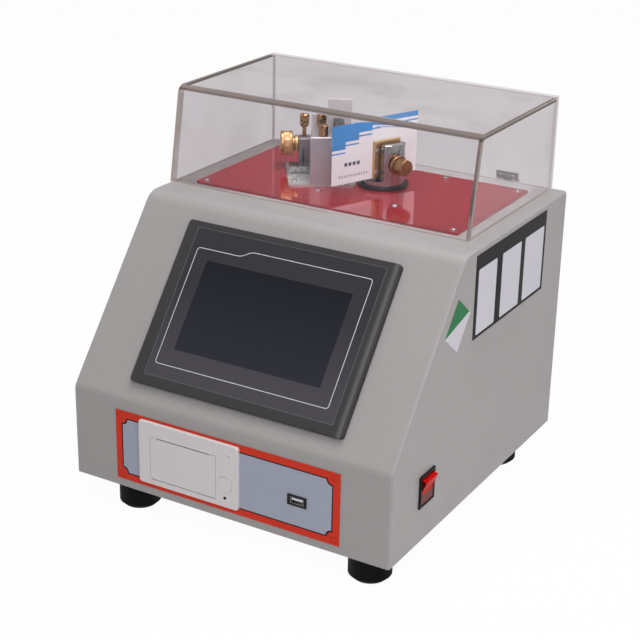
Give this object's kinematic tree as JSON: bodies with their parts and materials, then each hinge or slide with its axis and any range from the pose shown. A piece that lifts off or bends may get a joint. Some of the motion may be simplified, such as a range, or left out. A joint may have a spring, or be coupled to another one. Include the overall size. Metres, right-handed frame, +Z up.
{
  "type": "paper stiffness tester",
  "caption": "Bench instrument with a sloped touch panel, printer and rocker switch, and a turning specimen clamp with a sliding load cell under a hinged clear cover",
  "frame": {"origin": "on the bench, under the middle of the cabinet", "axes": "+X to the right seen from the front, +Y to the back, +Z up"},
  "size_m": [0.346, 0.3589, 0.3704],
  "materials": {
    "cabinet_paint": "fine textured warm grey powder coat",
    "zinc_steel": "zinc plated sheet and screws",
    "foot_rubber": "black moulded rubber",
    "deck_red": "deep red glossy plate",
    "motor_black": "black motor case",
    "flange_black": "blackened steel ring",
    "polished_steel": "mirror polished steel",
    "bearing_steel": "ground bearing steel",
    "satin_aluminium": "satin plate",
    "dark_aluminium": "grey anodised block",
    "cell_dark": "dark anodised load cell",
    "brass": "turned brass",
    "card": "coated white board with a printed corner",
    "cable_black": "thin insulated wires",
    "bezel_grey": "dark grey moulded bezel",
    "screen_glass": "dark film over the display",
    "housing_grey": "moulded rear housing",
    "plate_print": "printed plate, grey field in a red border",
    "printer_white": "off-white moulded plastic",
    "platen_rubber": "feed roller rubber",
    "roll_paper": "thermal paper",
    "socket_black": "black socket plastic",
    "socket_metal": "bright plated shell",
    "rocker_red": "red translucent rocker",
    "label_film": "printed label film",
    "board_green": "green circuit board",
    "acrylic": "clear acrylic, polished edges",
    "nickel": "nickel plated hinge leaves"
  },
  "bodies": {
    "root": {"cabinet_shell": "cabinet_paint", "base_plate": "zinc_steel", "rear_panel": "cabinet_paint", "rubber_feet": "foot_rubber", "case_screws": "zinc_steel", "deck_plate": "deck_red", "deck_screws": "zinc_steel", "motor_bracket": "zinc_steel", "drive_motor": "motor_black", "bearing_flange": "flange_black", "spindle_bearings": "bearing_steel", "load_base": "satin_aluminium", "front_plate": "satin_aluminium", "screw_bracket": "dark_aluminium", "slide_rail": "bearing_steel", "touch_bezel": "bezel_grey", "touch_screen": "screen_glass", "touch_housing": "housing_grey", "label_plate": "plate_print", "printer_bezel": "printer_white", "printer_body": "housing_grey", "usb_frame": "socket_black", "usb_shell": "socket_metal", "switch_frame": "socket_black", "mains_inlet": "socket_black", "power_supply": "zinc_steel", "control_board": "board_green", "hinge_leaves_fixed": "nickel", "hinge_pins": "nickel", "side_labels": "label_film", "load_cable": "cable_black"},
    "clamp": {"clamp_spindle": "bearing_steel", "clamp_column": "polished_steel", "rear_jaw": "satin_aluminium", "shaft_coupling": "satin_aluminium", "test_specimen": "card"},
    "jaw": {"pressing_plate": "brass", "plate_screws": "polished_steel"},
    "clamp_grip": {"clamp_screw": "brass"},
    "carriage": {"carriage_block": "dark_aluminium", "tall_plate": "satin_aluminium", "load_cell": "cell_dark", "probe": "polished_steel"},
    "knob": {"adjusting_knob": "brass"},
    "thumb_left": {"thumb_screw_left": "brass"},
    "thumb_rear": {"thumb_screw_rear": "brass"},
    "thumb_front": {"thumb_screw_front": "brass"},
    "rocker": {"rocker_button": "rocker_red"},
    "door": {"printer_door": "printer_white"},
    "key": {"feed_key": "printer_white"},
    "button": {"release_button": "printer_white"},
    "platen": {"platen_roller": "platen_rubber"},
    "roll": {"paper_roll": "roll_paper"},
    "cover": {"cover_sheet": "acrylic", "cover_left": "acrylic", "cover_right": "acrylic", "cover_rear": "acrylic", "hinge_leaves_cover": "nickel", "hinge_screws_cover": "nickel"}
  },
  "joints": [
    {"name": "cover_hinge", "type": "hinge", "parent": "root", "child": "cover", "pos_m": [0, 0.1772, 0.277], "axis": [-1, 0, 0], "range_deg": [0, 100]},
    {"name": "clamp_turn", "type": "hinge", "parent": "root", "child": "clamp", "pos_m": [0.0121, 0.088, 0.279], "axis": [0, 0, 1], "range_deg": [-15, 0], "deforming": ["test_specimen"]},
    {"name": "jaw_slide", "type": "slide", "parent": "clamp", "child": "jaw", "axis": [0.9135, -0.4067, 0], "range_m": [0, 0.0015]},
    {"name": "clamp_screw_turn", "type": "hinge", "parent": "jaw", "child": "clamp_grip", "pos_m": [0.0121, 0.088, 0.304], "axis": [0.9135, -0.4067, 0], "range_deg": [0, 540]},
    {"name": "load_slide", "type": "slide", "parent": "root", "child": "carriage", "axis": [-0.829, -0.5592, 0], "range_m": [0, 0.006]},
    {"name": "adjust_knob_turn", "type": "hinge", "parent": "root", "child": "knob", "pos_m": [-0.02201, 0.13857, 0.3035], "axis": [0.829, 0.5592, 0], "range_deg": [0, 2160]},
    {"name": "thumb_left_turn", "type": "hinge", "parent": "root", "child": "thumb_left", "pos_m": [-0.08386, 0.09686, 0.321], "axis": [0, 0, 1], "range_deg": [-90, 270]},
    {"name": "thumb_rear_turn", "type": "hinge", "parent": "carriage", "child": "thumb_rear", "pos_m": [-0.0556, 0.08214, 0.3297], "axis": [0, 0, 1], "range_deg": [-90, 270]},
    {"name": "thumb_front_turn", "type": "hinge", "parent": "carriage", "child": "thumb_front", "pos_m": [-0.03969, 0.0591, 0.3253], "axis": [0, 0, 1], "range_deg": [-90, 270]},
    {"name": "rocker_tilt", "type": "hinge", "parent": "root", "child": "rocker", "pos_m": [0.1683, -0.10925, 0.07815], "axis": [0, -1, 0], "range_deg": [0, 22]},
    {"name": "printer_door_hinge", "type": "hinge", "parent": "root", "child": "door", "pos_m": [-0.0435, -0.1775, 0.048], "axis": [1, 0, 0], "range_deg": [0, 90]},
    {"name": "feed_key_press", "type": "slide", "parent": "root", "child": "key", "axis": [0, 1, 0], "range_m": [0, 0.001], "stiffness_N_per_m": 200},
    {"name": "release_button_press", "type": "slide", "parent": "root", "child": "button", "axis": [0, 1, 0], "range_m": [0, 0.0012], "stiffness_N_per_m": 300},
    {"name": "platen_turn", "type": "hinge", "parent": "door", "child": "platen", "pos_m": [-0.0435, -0.1726, 0.0826], "axis": [1, 0, 0], "continuous": true},
    {"name": "paper_roll_turn", "type": "hinge", "parent": "root", "child": "roll", "pos_m": [-0.0435, -0.1503, 0.0633], "axis": [1, 0, 0], "continuous": true}
  ],
  "couplings": [
    {"joint": "clamp_screw_turn", "follows": "jaw_slide", "rad_per_m": 6283.2},
    {"joint": "adjust_knob_turn", "follows": "load_slide", "rad_per_m": 6283.2}
  ]
}
